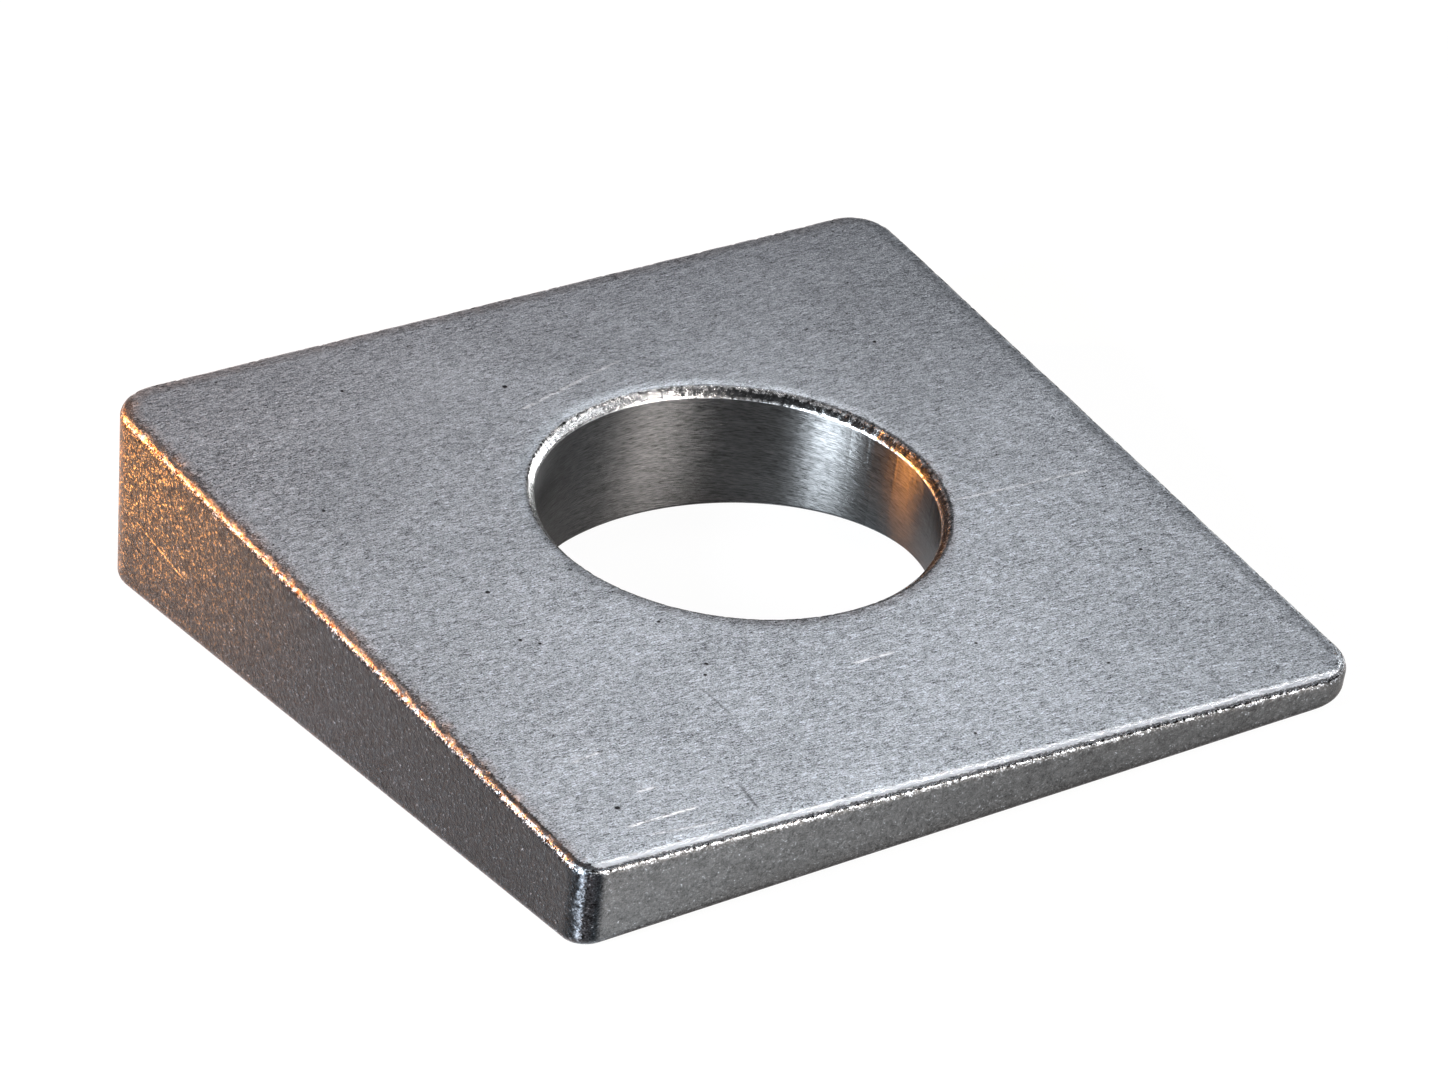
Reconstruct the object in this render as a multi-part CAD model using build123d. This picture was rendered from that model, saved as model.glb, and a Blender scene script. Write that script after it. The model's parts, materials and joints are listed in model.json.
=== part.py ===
from build123d import *
from math import radians, tan
import os

# Square taper washer, cast as one piece of steel, with a bore for a 24 mm bolt.
# The nut bears on the seat, the flat upper face. The bore stands square to the seat, the four
# sides lean in a little below it, and the underside slopes two ways to fill the wedge that is left
# under the nut. Lengths are in millimetres and angles in degrees.

# The seat, and the four sides below it
seat_width = 56.0
seat_depth = 57.0
side_draft_angle = 3.0

# The upright corners, which tumbling has worn unevenly
front_left_corner_radius = 1.8
back_left_corner_radius = 3.4
back_right_corner_radius = 2.8
front_right_corner_radius = 3.2

# The wedge: its thinnest corner, front right, and how steeply the underside falls away from there
thin_corner_thickness = 2.17
slope_to_left_angle = 3.9
slope_to_back_angle = 6.65

# The bore, and how far its axis stands right of and behind the middle of the seat
bore_diameter = 25.0
bore_shift_right = 2.2
bore_shift_back = 2.6

# Edges broken at the bore, and worn round by tumbling at the rim
bore_mouth_chamfer = 0.5
bore_foot_chamfer = 0.3
seat_edge_round = 0.6
underside_edge_round = 0.7

# A worn edge takes up no more than this share of the thinnest metal beside it
round_share_of_wall = 0.45


def thickness(x, y):
    """Metal below a point of the seat, square to it. The point is given from the seat's middle."""
    from_right = seat_width / 2 - x
    from_front = seat_depth / 2 + y
    left_rise = from_right * tan(radians(slope_to_left_angle))
    back_rise = from_front * tan(radians(slope_to_back_angle))
    return thin_corner_thickness + left_rise + back_rise


def thickest():
    """Metal below the back left corner of the seat."""
    return thickness(-seat_width / 2, seat_depth / 2)


def underside_plane():
    """The sloping underside, with its origin where the bore's axis leaves the metal."""
    depth = thickness(bore_shift_right, bore_shift_back)
    foot = (bore_shift_right, bore_shift_back, -depth)
    rise_left = tan(radians(slope_to_left_angle))
    rise_back = tan(radians(slope_to_back_angle))
    return Plane(origin=foot, x_dir=(1, 0, rise_left), z_dir=(-rise_left, rise_back, 1))


def round_corner(block, x, y, radius):
    """Round the upright edge that starts at one corner of the seat."""
    upright = block.edges().filter_by(lambda edge: abs(edge.tangent_at(0.5).Z) > 0.5)
    corner = upright.sort_by_distance((x, y, 0))[0]
    return fillet(corner, radius)


def drafted_block():
    """The sides and their rounded corners, from the seat down past the thickest metal."""
    depth = 1.5 * thickest()
    block = extrude(Rectangle(seat_width, seat_depth), amount=-depth, taper=side_draft_angle)
    front = -seat_depth / 2
    back = seat_depth / 2
    left = -seat_width / 2
    right = seat_width / 2
    block = round_corner(block, left, front, front_left_corner_radius)
    block = round_corner(block, left, back, back_left_corner_radius)
    block = round_corner(block, right, back, back_right_corner_radius)
    return round_corner(block, right, front, front_right_corner_radius)


def bore_tool():
    """A cylinder square to the seat, long enough to pass right through the metal."""
    axis = Pos(bore_shift_right, bore_shift_back, 0)
    return axis * Cylinder(bore_diameter / 2, 3 * thickest())


def washer():
    """The finished washer, standing on its underside with the bore's foot at the origin."""
    underside = underside_plane()
    up_from_underside = Axis(underside.origin, underside.z_dir)
    thin_wall_round = round_share_of_wall * thin_corner_thickness

    body = split(drafted_block(), bisect_by=underside, keep=Keep.TOP) - bore_tool()

    seat = body.faces().sort_by(Axis.Z)[-1]
    body = fillet(seat.outer_wire().edges(), min(seat_edge_round, thin_wall_round))
    seat = body.faces().sort_by(Axis.Z)[-1]
    body = chamfer(seat.inner_wires()[0].edges(), bore_mouth_chamfer)

    foot = body.faces().sort_by(up_from_underside)[0]
    body = fillet(foot.outer_wire().edges(), min(underside_edge_round, thin_wall_round))
    foot = body.faces().sort_by(up_from_underside)[0]
    body = chamfer(foot.inner_wires()[0].edges(), bore_foot_chamfer)
    return underside.to_local_coords(body)


os.makedirs("parts", exist_ok=True)
export_step(washer(), "parts/taper_washer.step")
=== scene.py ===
import bmesh
import bpy
import json
from math import cos, pi, radians, sin, sqrt, tan
from mathutils import Matrix, Vector, noise


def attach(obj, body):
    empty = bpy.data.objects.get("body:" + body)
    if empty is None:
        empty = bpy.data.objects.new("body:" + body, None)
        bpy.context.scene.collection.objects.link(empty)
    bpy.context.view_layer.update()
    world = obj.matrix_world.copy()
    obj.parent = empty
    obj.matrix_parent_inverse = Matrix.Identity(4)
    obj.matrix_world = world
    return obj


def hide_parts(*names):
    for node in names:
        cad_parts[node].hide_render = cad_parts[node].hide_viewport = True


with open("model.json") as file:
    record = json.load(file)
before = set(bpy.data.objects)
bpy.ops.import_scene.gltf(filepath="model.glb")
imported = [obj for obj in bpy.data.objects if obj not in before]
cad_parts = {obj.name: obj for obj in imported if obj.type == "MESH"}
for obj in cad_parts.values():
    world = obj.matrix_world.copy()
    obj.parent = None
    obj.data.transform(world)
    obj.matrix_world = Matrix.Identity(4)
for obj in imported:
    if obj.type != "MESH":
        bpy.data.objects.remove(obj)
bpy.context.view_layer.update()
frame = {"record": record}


# The washer is one piece of steel: a square wedge with a flat seat on top and a bore square to the
# seat. Its underside slopes to the seat. It is cast with a little draft on its sides, tumbled until
# its edges are round, and bored.
mm = 0.001
mounts = {mount["name"]: mount for mount in frame["record"]["mounts"]}
seat_up = Vector(mounts["seat"]["axis"]).normalized()
seat_back = Vector((0, seat_up.z, -seat_up.y)).normalized()
seat_right = seat_back.cross(seat_up)
seat_height = Vector(mounts["seat"]["pos_m"]).dot(seat_up)
seat_width = 56 * mm
seat_depth = 57 * mm
side_draft = radians(3)
block_depth = 20 * mm
front_left_radius = 1.8 * mm
back_left_radius = 3.4 * mm
back_right_radius = 2.8 * mm
front_right_radius = 3.2 * mm
bore_radius = mounts["bore"]["dims"]["r_mm"] * mm
bore_shift_right = 2.2 * mm
bore_shift_back = 2.6 * mm
seat_middle = Vector((-bore_shift_right, -bore_shift_back, seat_height))

# Rounds and chamfers, and the narrow band in which the seat falls away to its rim
seat_edge_round = 0.6 * mm
underside_edge_round = 0.7 * mm
mouth_chamfer = 0.5 * mm
mouth_edge_round = 0.1 * mm
foot_chamfer = 0.3 * mm
rim_band = 1.5 * mm
rim_drop = 0.08 * mm
corner_steps = 16
side_steps = 240
round_steps = 7
mouth_round_steps = 3
sharp_turn = radians(30)

# Wear of the edges. The mouth and the front rim have less of it, and all of it is inside the solid
edge_waver = 0.05 * mm
edge_waver_size = 1.6 * mm
edge_nick = 0.22 * mm
edge_nick_size = 0.32 * mm
edge_nick_start = 0.12
mouth_wear = 0.35
front_wear = 0.35
front_rim = seat_middle.y - 0.48 * seat_depth
flat_normal = 0.985
inside_cad = 0.012 * mm

to_part = Matrix((seat_right, seat_back, seat_up)).transposed().to_4x4()
up = to_part.inverted().to_3x3() @ Vector((0, 0, 1))


def seat_outline(mesh):
    """A rectangle with its corners rounded, its middle on the seat's middle."""
    place = Matrix.Translation(seat_middle) @ Matrix.Rotation(pi / 4, 4, "Z")
    corners = bmesh.ops.create_circle(mesh, segments=4, radius=seat_width / sqrt(2), matrix=place)["verts"]
    middle = Matrix.Translation(-seat_middle)
    bmesh.ops.scale(mesh, vec=(1, seat_depth / seat_width, 1), space=middle, verts=corners)
    radii = {
        (-1, -1): front_left_radius, (-1, 1): back_left_radius,
        (1, 1): back_right_radius, (1, -1): front_right_radius,
    }
    for (right, back), radius in radii.items():
        far = Vector((right * seat_width, back * seat_depth))
        corner = min(mesh.verts, key=lambda vert: (vert.co.xy - far).length)
        bmesh.ops.bevel(
            mesh, geom=[corner], offset=radius, affect="VERTICES",
            segments=corner_steps, profile=0.5, material=-1
        )
    sides = [edge for edge in mesh.edges if edge.calc_length() > seat_width / 2]
    bmesh.ops.subdivide_edges(mesh, edges=sides, cuts=side_steps - 1)
    return list(mesh.edges)


def sharp_edges(mesh, keep):
    """Edges with a sharp turn across them, whose middle passes a test."""
    found = []
    for edge in mesh.edges:
        if len(edge.link_faces) == 2 and edge.calc_face_angle() > sharp_turn:
            middle = (edge.verts[0].co + edge.verts[1].co) / 2
            if keep(middle):
                found.append(edge)
    return found


def break_edges(mesh, keep, size, steps):
    """Round the sharp edges that pass a test, or with one step chamfer them."""
    bmesh.ops.bevel(
        mesh, geom=sharp_edges(mesh, keep), offset=size, affect="EDGES", segments=steps,
        profile=0.5, material=-1, clamp_overlap=True
    )


def from_bore(point):
    return Vector(point.xy).length


def on_sides(point):
    return from_bore(point) > 1.5 * bore_radius


def near_bore(point):
    return from_bore(point) < bore_radius + 1.1 * mouth_chamfer


def on_seat(point):
    return point.z > seat_height - rim_drop - inside_cad


def on_underside(point):
    return abs(point.dot(up)) < inside_cad


def washer_mesh():
    """The wedge in the seat's own directions, with the bore's foot at the origin."""
    mesh = bmesh.new()
    outline = seat_outline(mesh)
    place = Matrix.Translation((0, 0, seat_height))
    bmesh.ops.create_circle(mesh, segments=len(outline), radius=bore_radius, matrix=place)
    bmesh.ops.bridge_loops(mesh, edges=mesh.edges)

    # Tumbling lets the seat fall away a little in a narrow band round its rim
    bmesh.ops.inset_region(
        mesh, faces=mesh.faces[:], thickness=rim_band, depth=0, use_boundary=True, use_even_offset=True
    )
    rim = [vert for vert in mesh.verts if vert.is_boundary and on_sides(vert.co)]
    bmesh.ops.translate(mesh, vec=(0, 0, -rim_drop), verts=rim)

    # The sides lean in as they go down
    below = bmesh.ops.extrude_face_region(mesh, geom=mesh.faces[:])["geom"]
    below = [item for item in below if isinstance(item, bmesh.types.BMVert)]
    bmesh.ops.translate(mesh, vec=(0, 0, -block_depth), verts=below)
    outer = [vert for vert in below if on_sides(vert.co)]
    lean = 2 * block_depth * tan(side_draft)
    middle = Matrix.Translation(-seat_middle)
    bmesh.ops.scale(mesh, vec=(1 - lean / seat_width, 1 - lean / seat_depth, 1), space=middle, verts=outer)

    # The sloping underside
    geometry = mesh.verts[:] + mesh.edges[:] + mesh.faces[:]
    cut = bmesh.ops.bisect_plane(mesh, geom=geometry, plane_co=(0, 0, 0), plane_no=-up, clear_outer=True)
    rims = [item for item in cut["geom_cut"] if isinstance(item, bmesh.types.BMEdge)]
    bmesh.ops.bridge_loops(mesh, edges=rims)
    bmesh.ops.recalc_face_normals(mesh, faces=mesh.faces)

    break_edges(mesh, lambda p: on_seat(p) and not near_bore(p), seat_edge_round, round_steps)
    break_edges(mesh, lambda p: on_underside(p) and not near_bore(p), underside_edge_round, round_steps)
    break_edges(mesh, lambda p: on_seat(p) and near_bore(p), mouth_chamfer, 1)
    break_edges(mesh, lambda p: p.dot(up) > seat_height / 2 and near_bore(p), mouth_edge_round, mouth_round_steps)
    break_edges(mesh, lambda p: on_underside(p) and near_bore(p), foot_chamfer, 1)
    return mesh


def wear_edges(mesh):
    """Let the seat's rim and the bore's mouth waver and take small nicks, always into the metal."""
    mesh.normal_update()
    for vert in mesh.verts:
        on_bore_wall = from_bore(vert.co) < 1.2 * bore_radius and vert.normal.z < 0.1
        if abs(vert.normal.z) < flat_normal and not on_bore_wall:
            waver = 0.5 + 0.5 * noise.noise(vert.co / edge_waver_size)
            nick = max(0, noise.noise(vert.co / edge_nick_size) - edge_nick_start)
            share = min(1, max(0, 4 * vert.normal.z))
            if near_bore(vert.co):
                share *= mouth_wear
            elif vert.co.y < front_rim:
                share *= front_wear
            vert.co -= vert.normal * (inside_cad + share * (waver * edge_waver + nick * edge_nick))


def mark_bore(mesh):
    """Give the bore's wall the second material."""
    for face in mesh.faces:
        upright = abs(face.normal.z) < 0.01
        if upright and from_bore(face.calc_center_median()) < bore_radius + inside_cad:
            face.material_index = 1


mesh = washer_mesh()
wear_edges(mesh)
mark_bore(mesh)
bmesh.ops.transform(mesh, matrix=to_part, verts=mesh.verts)
washer = bpy.data.objects.new("taper_washer_dressed", bpy.data.meshes.new("taper_washer_dressed"))
mesh.to_mesh(washer.data)
mesh.free()
bpy.context.scene.collection.objects.link(washer)
washer.data.shade_smooth()
weighted = washer.modifiers.new("flat faces stay flat", "WEIGHTED_NORMAL")
weighted.weight = 100


# Bare steel takes its look from how each face was made. The seat is a fine matte grain with short
# streaks, scratches and pits. The cast sides are darker and mottled; the left side is painted darker
# still as shade, with a warm glow and amber glints painted in at its back. Tumbling has polished the
# rim and the bore's mouth; painted highlights and a thin dark line of painted shade lie along them.
seat_colour = (0.40, 0.43, 0.465, 1)
pale_fleck_and_sheen_colour = (0.82, 0.85, 0.90, 1)
fresh_scratch_colour = (0.98, 0.99, 1, 1)
dark_mark_and_shade_colour = (0.018, 0.018, 0.020, 1)
front_side_colour = (0.059, 0.059, 0.059, 1)
pale_side_colour = (0.083, 0.083, 0.083, 1)
shaded_left_side_colour = (0.0115, 0.0145, 0.0175, 1)
corner_highlight_colour = (0.17, 0.195, 0.225, 1)
painted_warm_glow_colour = (0.047, 0.028, 0.013, 1)
amber_glint_and_scratch_colour = (0.50, 0.26, 0.075, 1)
worn_and_highlight_colour = (0.62, 0.61, 0.60, 1)
painted_amber_rim_colour = (0.14, 0.047, 0.0055, 1)
mouth_colour = (0.20, 0.203, 0.206, 1)
seat_roughness = 0.42
side_roughness = 0.48
worn_roughness = 0.24
sheen_roughness = 0.30
front_rim_roughness = 0.15
steel_relief = 0.04 * mm
steel_relief_strength = 0.8

# Marks, in millimetres from the bore's axis. A scratch is how strong it is, its start, its end and
# half its width. A pit is its middle and its size. The side's scratch is in depth below the seat
scratches = (
    (1.0, (-25.1, -27.8), (-20.1, -27.6), 0.17),
    (0.8, (-22.7, -24.8), (-21.3, -24.8), 0.15),
    (0.5, (-24.3, -29.05), (-19.7, -29.5), 0.15),
    (0.45, (12.4, -5.1), (22.0, -5.5), 0.15),
    (0.8, (-3.15, -18.1), (-0.1, -18.0), 0.16),
    (0.6, (-24.6, -20.6), (-22.2, -20.2), 0.14),
)
faint_scratches = ((0.4, (-7.1, 14.1), (1.6, 16.6), 0.17),)
side_scratches = ((0.7, (21.0, 6.5), (15.3, 7.2), 0.12),)
dark_cuts = (
    (0.5, (-16.5, -26.6), (-16.8, -29.3), 0.13),
    (0.4, (-13.1, -16.7), (-12.9, -20.0), 0.12),
)
pits = (
    ((-24.6, -25.8), 0.22), ((-6.6, 16.8), 0.2), ((-19.6, -2.6), 0.2), ((-11.4, -14.6), 0.16),
    ((-12.1, -15.6), 0.15), ((-11.65, -9.5), 0.15), ((5.05, -19.15), 0.14), ((-0.3, -27.5), 0.14),
    ((-20.5, -7.9), 0.16), ((-19.6, -8.7), 0.14), ((17.5, 12.2), 0.15), ((-24.2, 9.1), 0.14),
    ((20.1, -14.3), 0.15), ((-16.2, 20.3), 0.13), ((11.4, -24.2), 0.13),
)


class Value:
    """A socket of a material's nodes. Sums on it add the Math nodes that work them out."""

    def __init__(self, tree, socket):
        self.tree = tree
        self.socket = socket

    def node(self, kind, settings, values, output=0):
        """Add a node, choose its settings, then give its sockets their numbers or links."""
        added = self.tree.nodes.new(kind)
        for name, setting in settings.items():
            setattr(added, name, setting)
        for name, value in values.items():
            if isinstance(value, Value):
                self.tree.links.new(value.socket, added.inputs[name])
            else:
                added.inputs[name].default_value = value
        return Value(self.tree, added.outputs[output])

    def feed(self, shader, name):
        """Link to a socket of the shader."""
        self.tree.links.new(self.socket, shader.inputs[name])

    def math(self, operation, *values):
        return self.node("ShaderNodeMath", {"operation": operation}, dict(enumerate(values)))

    def __add__(self, other):
        return self.math("ADD", self, other)

    __radd__ = __add__

    def __sub__(self, other):
        return self.math("SUBTRACT", self, other)

    def __rsub__(self, other):
        return self.math("SUBTRACT", other, self)

    def __mul__(self, other):
        return self.math("MULTIPLY", self, other)

    __rmul__ = __mul__

    def __pow__(self, other):
        return self.math("POWER", self, other)

    def __abs__(self):
        return self.math("ABSOLUTE", self)

    def larger(self, other):
        return self.math("MAXIMUM", self, other)

    def smaller(self, other):
        return self.math("MINIMUM", self, other)

    def step(self, low, high):
        """A smooth step, 0 below low and 1 above high. With low above high it falls."""
        values = {"Value": self, "From Min": low, "From Max": high}
        return self.node("ShaderNodeMapRange", {"interpolation_type": "SMOOTHSTEP"}, values)

    def blend(self, first, second):
        """The first number where this is 0 and the second where it is 1."""
        return first * (1 - self) + second * self

    def mix(self, first, second):
        """The first colour where this is 0 and the second where it is 1."""
        return self.node("ShaderNodeMix", {"data_type": "RGBA"}, {0: self, 6: first, 7: second}, output=2)

    def shade(self, colour):
        """A colour multiplied by this number."""
        if not isinstance(colour, Value):
            colour = colour[:3]
        return self.node("ShaderNodeVectorMath", {"operation": "SCALE"}, {0: colour, 3: self})

    def part(self, place):
        """The X, Y or Z of a vector."""
        return self.node("ShaderNodeSeparateXYZ", {}, {0: self}, output="XYZ".index(place))

    def stretched(self, x, y, z):
        """A vector with its parts multiplied."""
        return self.node("ShaderNodeVectorMath", {"operation": "MULTIPLY"}, {0: self, 1: (x, y, z)})

    def speckle(self, scale, detail=2.0, roughness=0.5, distortion=0.0):
        """Cloudy noise, about 0 in the middle. The scale is in features a millimetre."""
        values = {"Scale": scale, "Detail": detail, "Roughness": roughness, "Distortion": distortion}
        return self.node("ShaderNodeTexNoise", {}, {"Vector": self, **values}) - 0.5


def bare_metal(name):
    """A metal material, its shader, and a value from which its nodes start."""
    material = bpy.data.materials.new(name)
    material.use_nodes = True
    shader = material.node_tree.nodes["Principled BSDF"]
    shader.inputs["Metallic"].default_value = 1
    return material, shader, Value(material.node_tree, None)


def seat_place(start):
    """Places in millimetres in the seat's directions, from the bore's foot."""
    here = start.node("ShaderNodeTexCoord", {}, {}, output="Object")
    turn = to_part.inverted().to_euler()
    return start.node("ShaderNodeMapping", {}, {0: here, "Rotation": turn, "Scale": (1 / mm, 1 / mm, 1 / mm)})


def inside_outline(x, y, draft):
    """How far a point lies inside the sides and their round corners, all in millimetres."""
    right = x.step(-5, 5)
    back = y.step(-5, 5)
    front_radius = right.blend(front_left_radius / mm, front_right_radius / mm)
    back_radius = right.blend(back_left_radius / mm, back_right_radius / mm)
    radius = back.blend(front_radius, back_radius)
    reach_x = abs(x) + draft + radius - seat_width / 2 / mm
    reach_y = abs(y) + draft + radius - seat_depth / 2 / mm
    corner_reach = (reach_x.larger(0) ** 2 + reach_y.larger(0) ** 2) ** 0.5
    return radius - corner_reach - reach_x.larger(reach_y).smaller(0)


def line_between(x, y, start, end, width):
    """1 along the line from start to end, faded at its sides and ends."""
    run = Vector(end) - Vector(start)
    ahead = run.normalized()
    along = (x - start[0]) * ahead.x + (y - start[1]) * ahead.y
    aside = abs((y - start[1]) * ahead.x - (x - start[0]) * ahead.y)
    past_end = (along * -1).larger(along - run.length)
    return aside.step(width, 0.3 * width) * past_end.step(0.2, -0.4)


def lines_drawn(x, y, lines, pattern=1):
    """The strongest of several lines at each place, broken up by a pattern."""
    drawn = x * 0
    for strength, start, end, width in lines:
        drawn = drawn.larger(pattern * strength * line_between(x, y, start, end, width))
    return drawn


def pit_at(x, y, middle, size):
    return ((x - middle[0]) ** 2 + (y - middle[1]) ** 2).step(size * size, 0.3 * size * size)


def steel_look():
    """The seat, the sides, the rim, the bore's mouth and the underside. Lengths are in millimetres."""
    material, shader, start = bare_metal("steel")
    place = seat_place(start)
    x = place.part("X")
    y = place.part("Y")
    depth = seat_height / mm - place.part("Z")
    height = start.node("ShaderNodeTexCoord", {}, {}, output="Object").part("Z") * (1 / mm)
    draft = depth * tan(side_draft)
    from_middle_x = x - seat_middle.x / mm
    from_middle_y = y - seat_middle.y / mm
    from_left = from_middle_x + seat_width / 2 / mm - draft
    from_front = from_middle_y + seat_depth / 2 / mm - draft
    inside = inside_outline(from_middle_x, from_middle_y, draft)
    outside_bore = (x * x + y * y) ** 0.5 - bore_radius / mm

    # Noises for the grain: fine and even, in streaks along the front side, blotchy, and broad
    fine = place.speckle(9.0, detail=3.0, roughness=0.6)
    streaks = place.stretched(2.4, 8.0, 8.0).speckle(1.0, detail=3.0, roughness=0.6, distortion=0.8)
    blotch = place.speckle(1.3, detail=4.0, roughness=0.6)
    broad = place.stretched(1.0, 1.6, 1.0).speckle(0.09, detail=3.0, roughness=0.55)
    beads = place.speckle(3.4, detail=1.0)
    ragged = fine * 0.8 + beads * 0.35

    # The seat's grain is calmer towards the back, and its colour is painted darker towards the far corner as
    # shade
    calm = (x * 0.3 + y).step(-12, 26) * 0.3
    far_painted_shade = (x + y).step(8, 58) * 0.33 + (y - x * 0.5).step(8, 44) * 0.12
    seat_grain = 1 + (streaks * 3.3 + fine * 3.6 + blotch * 0.7) * (1 - calm) + broad * 0.5
    colour = (seat_grain * (1 - far_painted_shade)).shade(seat_colour)

    # Dark and pale flecks, then scratches, cuts and pits
    flecks = place.stretched(1, 1.6, 1.6).speckle(2.6, detail=2.0).step(0.19, 0.26)
    pale_flecks = place.stretched(1, 2.0, 2.0).speckle(1.9, detail=3.0, distortion=0.5).step(0.19, 0.30)
    edge_wear = inside.step(7, 0.5)
    gaps = (streaks * 1.6 + blotch).step(-0.14, 0.04)
    marks = lines_drawn(x, y, scratches, 0.25 + 0.75 * gaps).larger(lines_drawn(x, y, faint_scratches, gaps))
    cuts = lines_drawn(x, y, dark_cuts)
    for middle, size in pits:
        cuts = cuts.larger(pit_at(x, y, middle, size))
    colour = (flecks * 0.8).mix(colour, dark_mark_and_shade_colour)
    colour = (pale_flecks * (0.25 + 0.45 * edge_wear)).mix(colour, pale_fleck_and_sheen_colour)
    colour = marks.mix(colour, fresh_scratch_colour)
    colour = cuts.mix(colour, dark_mark_and_shade_colour)

    # A polished band lies in the seat along the front rim, and its colour is lightened there as a painted
    # highlight
    front_polish_and_painted_sheen = (from_front + ragged * 0.7).step(0.95, 0.5) * from_left.step(0.6, 1.6) * depth.step(0.3, 0.2)
    colour = (front_polish_and_painted_sheen * 0.85).mix(colour, pale_fleck_and_sheen_colour)

    # The sides: the front is paler at its left. The left side is painted darker than the front as shade, darkest
    # towards its front, and a warm glow and amber glints are painted in at its back
    on_side = (inside + ragged * 0.5).step(0.20, 0.06) * depth.step(0.1, 0.3)
    left = from_left.step(1.8, 1.2)
    painted_warm_glow = from_left.step(8, 0) * y.step(-4, 27) ** 1.4 * height.step(-4, 11) * (1.2 + blotch * 2.0)
    painted_amber_glints = place.speckle(4.5, detail=2.0, distortion=1.2).step(0.03, 0.15)
    side_grain = 1 + (fine * 4.5 + beads * 2.2 + blotch * 1.6) * (0.5 + left * 0.7 + painted_warm_glow * 0.5)
    side = left.mix(x.step(10, -27).mix(front_side_colour, pale_side_colour), shaded_left_side_colour)
    side = (1 - left * y.step(4, -24) * 0.5).shade(side)
    side = painted_warm_glow.smaller(1).mix(side, painted_warm_glow_colour)
    side = (painted_amber_glints * painted_warm_glow.smaller(1) * 0.8).mix(side, amber_glint_and_scratch_colour)

    # The front left corner has a painted highlight on its left half and painted shade on its right half
    across_corner = (from_left - from_front) * (mm / front_left_radius) + beads * 0.5
    corner_painted_highlight = across_corner.step(-0.7, -0.1) ** 4 * across_corner.step(0.06, -0.04)
    corner_painted_shade = across_corner.step(-0.04, 0.08) * across_corner.step(0.7, 0.25)
    side = (corner_painted_highlight * 0.7).mix(side, corner_highlight_colour)
    side = (corner_painted_shade * 0.75).mix(side, dark_mark_and_shade_colour)
    side = lines_drawn(y, depth, side_scratches, gaps).mix(side, amber_glint_and_scratch_colour)
    colour = on_side.mix(colour, side_grain.shade(side))
    # A thin dark line of painted shade runs along the foot of the sides, where they meet the floor
    colour = (height + ragged * 0.3).step(0.8, 0.2).mix(colour, dark_mark_and_shade_colour)

    # The polished rim. Along the left an amber reflection is painted in, but for a bright core
    along_left = from_left.step(3, 1) * y.step(-26, -6)
    left_edge = from_left.step(2, 1) * (from_left - from_front).step(1, 0)
    rim_reach = 0.26 + along_left * 0.12
    rim = (depth + ragged * 0.2).step(0.42, 0.3) * (inside + ragged * 0.4).step(rim_reach, 0.16)
    rim_grain = 0.14 + along_left * 0.10 + beads * (1.6 + along_left * 1.4)
    edge_core = abs(inside - 0.14 + fine * 0.2).step(0.12, 0.05)
    worn_and_painted_rim = rim_grain.larger(0.02).shade(worn_and_highlight_colour)
    worn_and_painted_rim = (along_left * (1 - edge_core * 0.6) * 0.95).mix(worn_and_painted_rim, painted_amber_rim_colour)
    colour = (rim * 0.9).mix(colour, worn_and_painted_rim)

    # A dark line of painted shade lies in the seat beside the rim, wider and more ragged along the left
    rim_shade_middle = 0.22 + left_edge * 0.12 + along_left * 0.13
    rim_shade_reach = 0.13 + left_edge * 0.11 + along_left * 0.12
    beside_rim_shade = abs(inside + ragged * (0.3 + along_left * 1.4) - rim_shade_middle) - rim_shade_reach
    painted_rim_shade = beside_rim_shade.step(0.03 + along_left * 0.06, -0.06 - along_left * 0.18) * depth.step(0.35, 0.2)
    colour = (painted_rim_shade * (0.9 - along_left * 0.25)).mix(colour, dark_mark_and_shade_colour)

    # The bore's mouth is painted brighter at its left as a highlight, with two bright lines of polish and painted
    # highlight along its edges, and a dark line of painted shade round it that is darker on the right
    mouth = (depth + ragged * 0.2).step(0.62, 0.5) * (outside_bore + ragged * 0.5).step(0.66, 0.5)
    mouth_painted_highlight = (y * 0.5 - x).step(-3, 12)
    mouth_grain = mouth_painted_highlight.blend(0.3 + beads * 0.8, 3.0 + fine * 2)
    outer_line = abs(outside_bore + ragged * 0.5 - 0.47).step(0.13, 0.05) * (1 + y.step(0, 10) * 0.6)
    inner_line = abs(depth + ragged * 0.3 - 0.52).step(0.12, 0.05) * outside_bore.step(0.14, 0.06)
    mouth_polish_and_highlight_lines = outer_line.larger(inner_line) * depth.step(0.8, 0.6)
    painted_mouth_shade = abs(outside_bore + ragged * 0.4 - 0.62).step(0.12, 0.05) * depth.step(0.3, 0.16)
    colour = mouth.mix(colour, mouth_grain.shade(mouth_colour))
    colour = (mouth_polish_and_highlight_lines * 0.6).smaller(1).mix(colour, (0.8 + beads * 4).larger(0.05).shade(worn_and_highlight_colour))
    colour = (painted_mouth_shade * (0.6 - mouth_painted_highlight * 0.4)).mix(colour, dark_mark_and_shade_colour)
    colour.feed(shader, "Base Color")

    # Gloss
    seat_rough = (front_polish_and_painted_sheen * 0.9).blend(seat_roughness + streaks * 0.3, sheen_roughness)
    worn_rough = (left_edge.larger(mouth) * (1 - along_left * 0.3)).blend(front_rim_roughness, worn_roughness)
    rough = on_side.blend(seat_rough, side_roughness + fine * 0.3)
    rough = rim.larger(mouth).blend(rough, worn_rough + along_left * 0.15 + fine * 0.25)
    rough.feed(shader, "Roughness")

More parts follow.
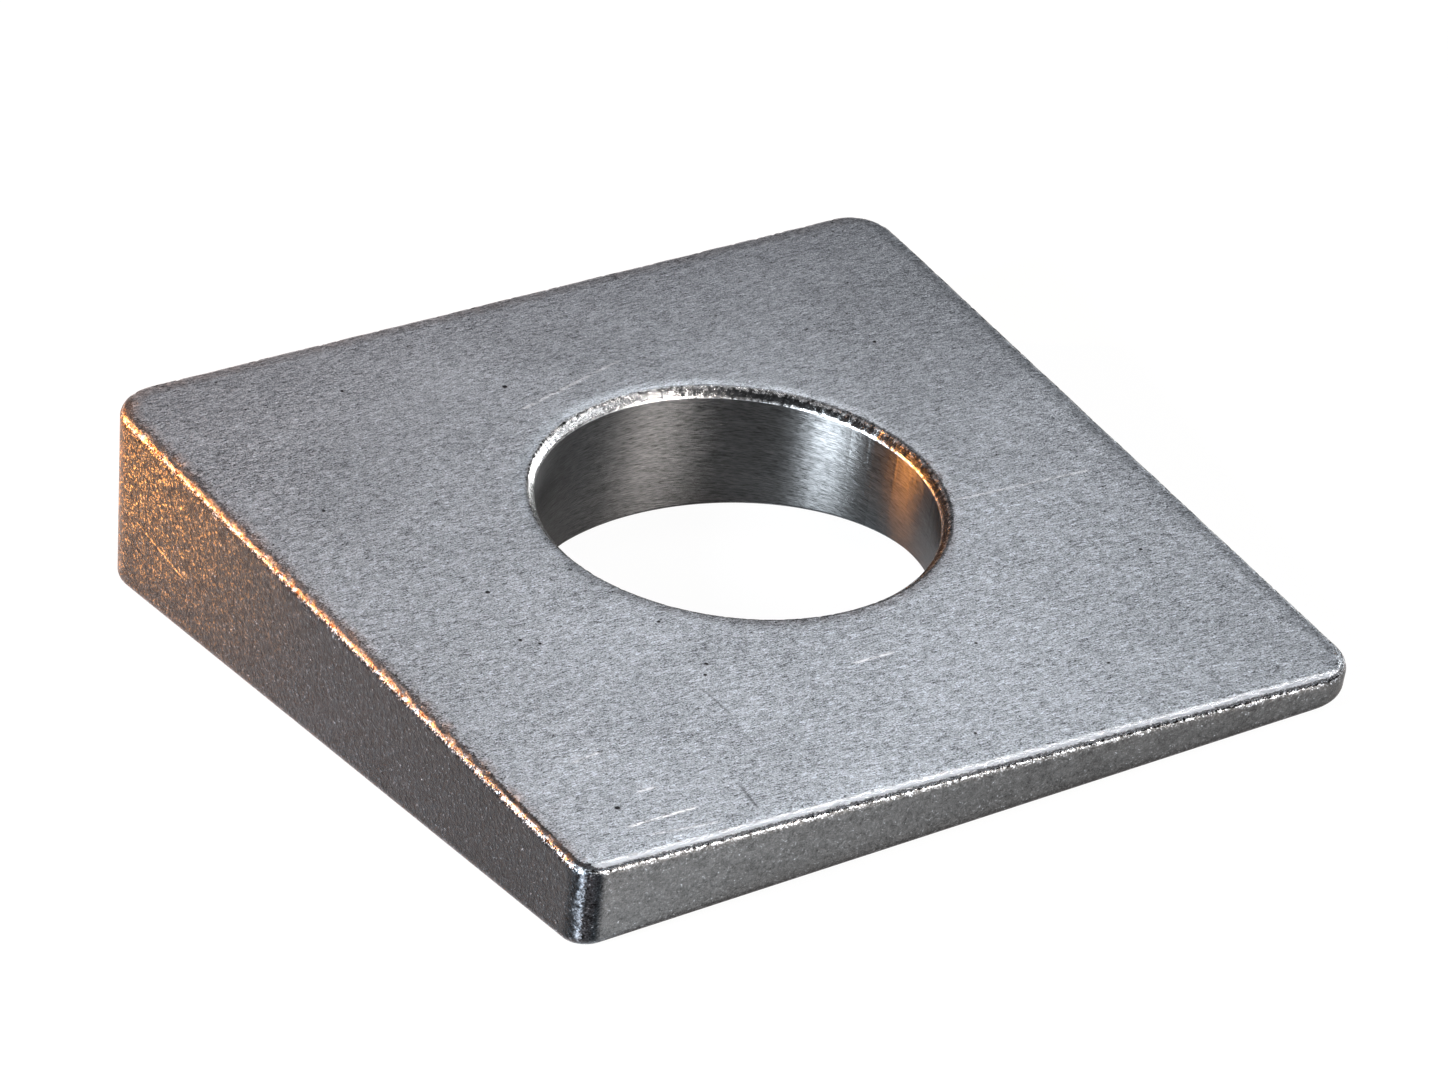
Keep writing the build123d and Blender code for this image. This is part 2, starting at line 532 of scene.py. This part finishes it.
    # Relief
    relief = streaks * 0.8 + fine * 0.6 - flecks * 0.5 - cuts * 0.7 - front_polish_and_painted_sheen * 2.0
    relief = on_side.blend(relief, fine * 1.4 + beads * 1.4 + blotch * 0.8)
    relief = rim.blend(relief, beads * (1.0 + left_edge * 1.2) + fine * 0.6)
    relief = mouth.blend(relief, beads * 0.3 + fine * 0.6)
    values = {"Height": relief, "Strength": steel_relief_strength, "Distance": steel_relief}
    start.node("ShaderNodeBump", {}, values).feed(shader, "Normal")
    return material


washer.data.materials.append(steel_look())


# The bore is turned: a boring bar leaves fine short strokes that run round its wall, so that it
# shines in upright bands. The metal there is darker and smoother than the seat.
bore_colour = (0.091, 0.092, 0.093, 1)
bore_roughness = 0.41
bore_anisotropy = 1
upright_shine = 0.25
bore_relief = 0.035 * mm


def bored_steel_look():
    material, shader, start = bare_metal("bored steel")
    place = seat_place(start)
    strokes = place.stretched(1.7, 1.7, 17.0).speckle(1.0, detail=3.0, roughness=0.6, distortion=0.4)
    turns = place.stretched(0.25, 0.25, 3.0).speckle(1.0, detail=2.0)
    (1 + strokes * 3 + turns * 0.8).larger(0.2).shade(bore_colour).feed(shader, "Base Color")
    (bore_roughness + strokes * 0.3).feed(shader, "Roughness")
    shader.inputs["Anisotropic"].default_value = bore_anisotropy
    shader.inputs["Anisotropic Rotation"].default_value = upright_shine
    values = {"Height": strokes + turns * 0.5, "Strength": 1, "Distance": bore_relief}
    start.node("ShaderNodeBump", {}, values).feed(shader, "Normal")
    return material


washer.data.materials.append(bored_steel_look())
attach(washer, "root")
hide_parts("taper_washer")


# The camera stands where the photograph's stood, over a metre off with a long lens.
view_azimuth = radians(31.144)
view_elevation = radians(29.239)
view_roll = radians(-1.2146)
view_distance = 1197.7 * mm
view_target = Vector((-2.249, -3.553, 6.685)) * mm
focal_pixels = 19675.3
picture_width = 1448
sensor_width = 36
nearest_seen = 10 * mm

view_ahead = Vector((
    sin(view_azimuth) * cos(view_elevation), cos(view_azimuth) * cos(view_elevation), -sin(view_elevation)
))
lens = bpy.data.cameras.new("camera")
lens.sensor_width = sensor_width
lens.lens = focal_pixels / picture_width * sensor_width
lens.clip_start = nearest_seen
camera = bpy.data.objects.new("camera", lens)
camera.location = view_target - view_ahead * view_distance
turn = view_ahead.to_track_quat("-Z", "Y").to_matrix() @ Matrix.Rotation(view_roll, 3, "Z")
camera.rotation_euler = turn.to_euler()
bpy.context.scene.collection.objects.link(camera)
bpy.context.scene.camera = camera


# The floor is a plain white sheet under the washer. It shows nearly full white to the eye and a
# little way off in the metal. The rest of it takes the light, so that a faint shadow stays.
floor_size = 1.5
floor_white = 0.95
shaded_white = 0.03
shaded_reach = 60 * mm
sheet_colour = (0.9, 0.9, 0.9, 1)
sheet_roughness = 0.9


def sheet_look():
    """Paper that glows to the eye and in the metal, but less in metal that is close to it: a painted shade of the
    washer seen in the metal.
    """
    material = bpy.data.materials.new("white sheet")
    material.use_nodes = True
    nodes = material.node_tree.nodes
    paper = nodes["Principled BSDF"]
    paper.inputs["Base Color"].default_value = sheet_colour
    paper.inputs["Roughness"].default_value = sheet_roughness
    paper.inputs["Specular IOR Level"].default_value = 0
    start = Value(material.node_tree, None)
    to_eye, in_metal, through_glass, distance = [
        start.node("ShaderNodeLightPath", {}, {}, output=name)
        for name in ("Is Camera Ray", "Is Glossy Ray", "Is Transmission Ray", "Ray Length")
    ]
    nearby = shaded_white + (1 - shaded_white) * distance.step(0, shaded_reach)
    seen = to_eye.larger(through_glass).larger(in_metal * nearby)
    glow = start.node("ShaderNodeEmission", {}, {"Color": (1, 1, 1, 1), "Strength": 1})
    lit = Value(material.node_tree, paper.outputs[0])
    both = start.node("ShaderNodeMixShader", {}, {0: seen * floor_white, 1: lit, 2: glow})
    both.feed(nodes["Material Output"], "Surface")
    return material


floor_mesh = bmesh.new()
bmesh.ops.create_grid(floor_mesh, x_segments=1, y_segments=1, size=floor_size)
floor = bpy.data.objects.new("floor", bpy.data.meshes.new("floor"))
floor_mesh.to_mesh(floor.data)
floor_mesh.free()
floor.data.materials.append(sheet_look())
bpy.context.scene.collection.objects.link(floor)


# The light: a plain grey room and six soft boxes. One high up and two at the right light the seat
# and the front side. Narrow ones low at the left, behind and in front draw the bands in the bore and
# the lines along the rim, and the one behind is warm.
room_colour = (0.20, 0.205, 0.22, 1)
white = (1, 1, 1)
cool = (0.85, 0.93, 1)
warm = (1, 0.93, 0.88)
amber = (1, 0.36, 0.08)

room = bpy.data.worlds.new("room")
room.use_nodes = True
room.node_tree.nodes["Background"].inputs["Color"].default_value = room_colour
room.node_tree.nodes["Background"].inputs["Strength"].default_value = 1
bpy.context.scene.world = room


def soft_box(name, azimuth, elevation, distance, width, height, colour, brightness):
    """A lamp that faces the washer, in degrees and metres. The azimuth turns from +X towards +Y."""
    lamp = bpy.data.lights.new(name, "AREA")
    lamp.shape = "RECTANGLE"
    lamp.size = width
    lamp.size_y = height
    lamp.color = colour
    lamp.energy = brightness * pi * width * height
    placed = bpy.data.objects.new(name, lamp)
    azimuth = radians(azimuth)
    elevation = radians(elevation)
    away = Vector((cos(azimuth) * cos(elevation), sin(azimuth) * cos(elevation), sin(elevation)))
    placed.location = away * distance
    placed.rotation_euler = away.to_track_quat("Z", "Y").to_euler()
    bpy.context.scene.collection.objects.link(placed)


soft_box("key", 30, 62, 0.16, 0.05, 0.05, white, 6.8)
soft_box("right", 338, 32, 0.35, 0.035, 0.12, white, 8)
soft_box("low right", 10, 8, 0.35, 0.14, 0.03, white, 16)
soft_box("left", 186, 20, 0.3, 0.03, 0.16, cool, 270)
soft_box("back left", 130, 21, 0.16, 0.013, 0.07, amber, 160)
soft_box("front", 284, 20, 0.3, 0.022, 0.16, warm, 140)

bpy.context.scene.view_settings.view_transform = "Standard"
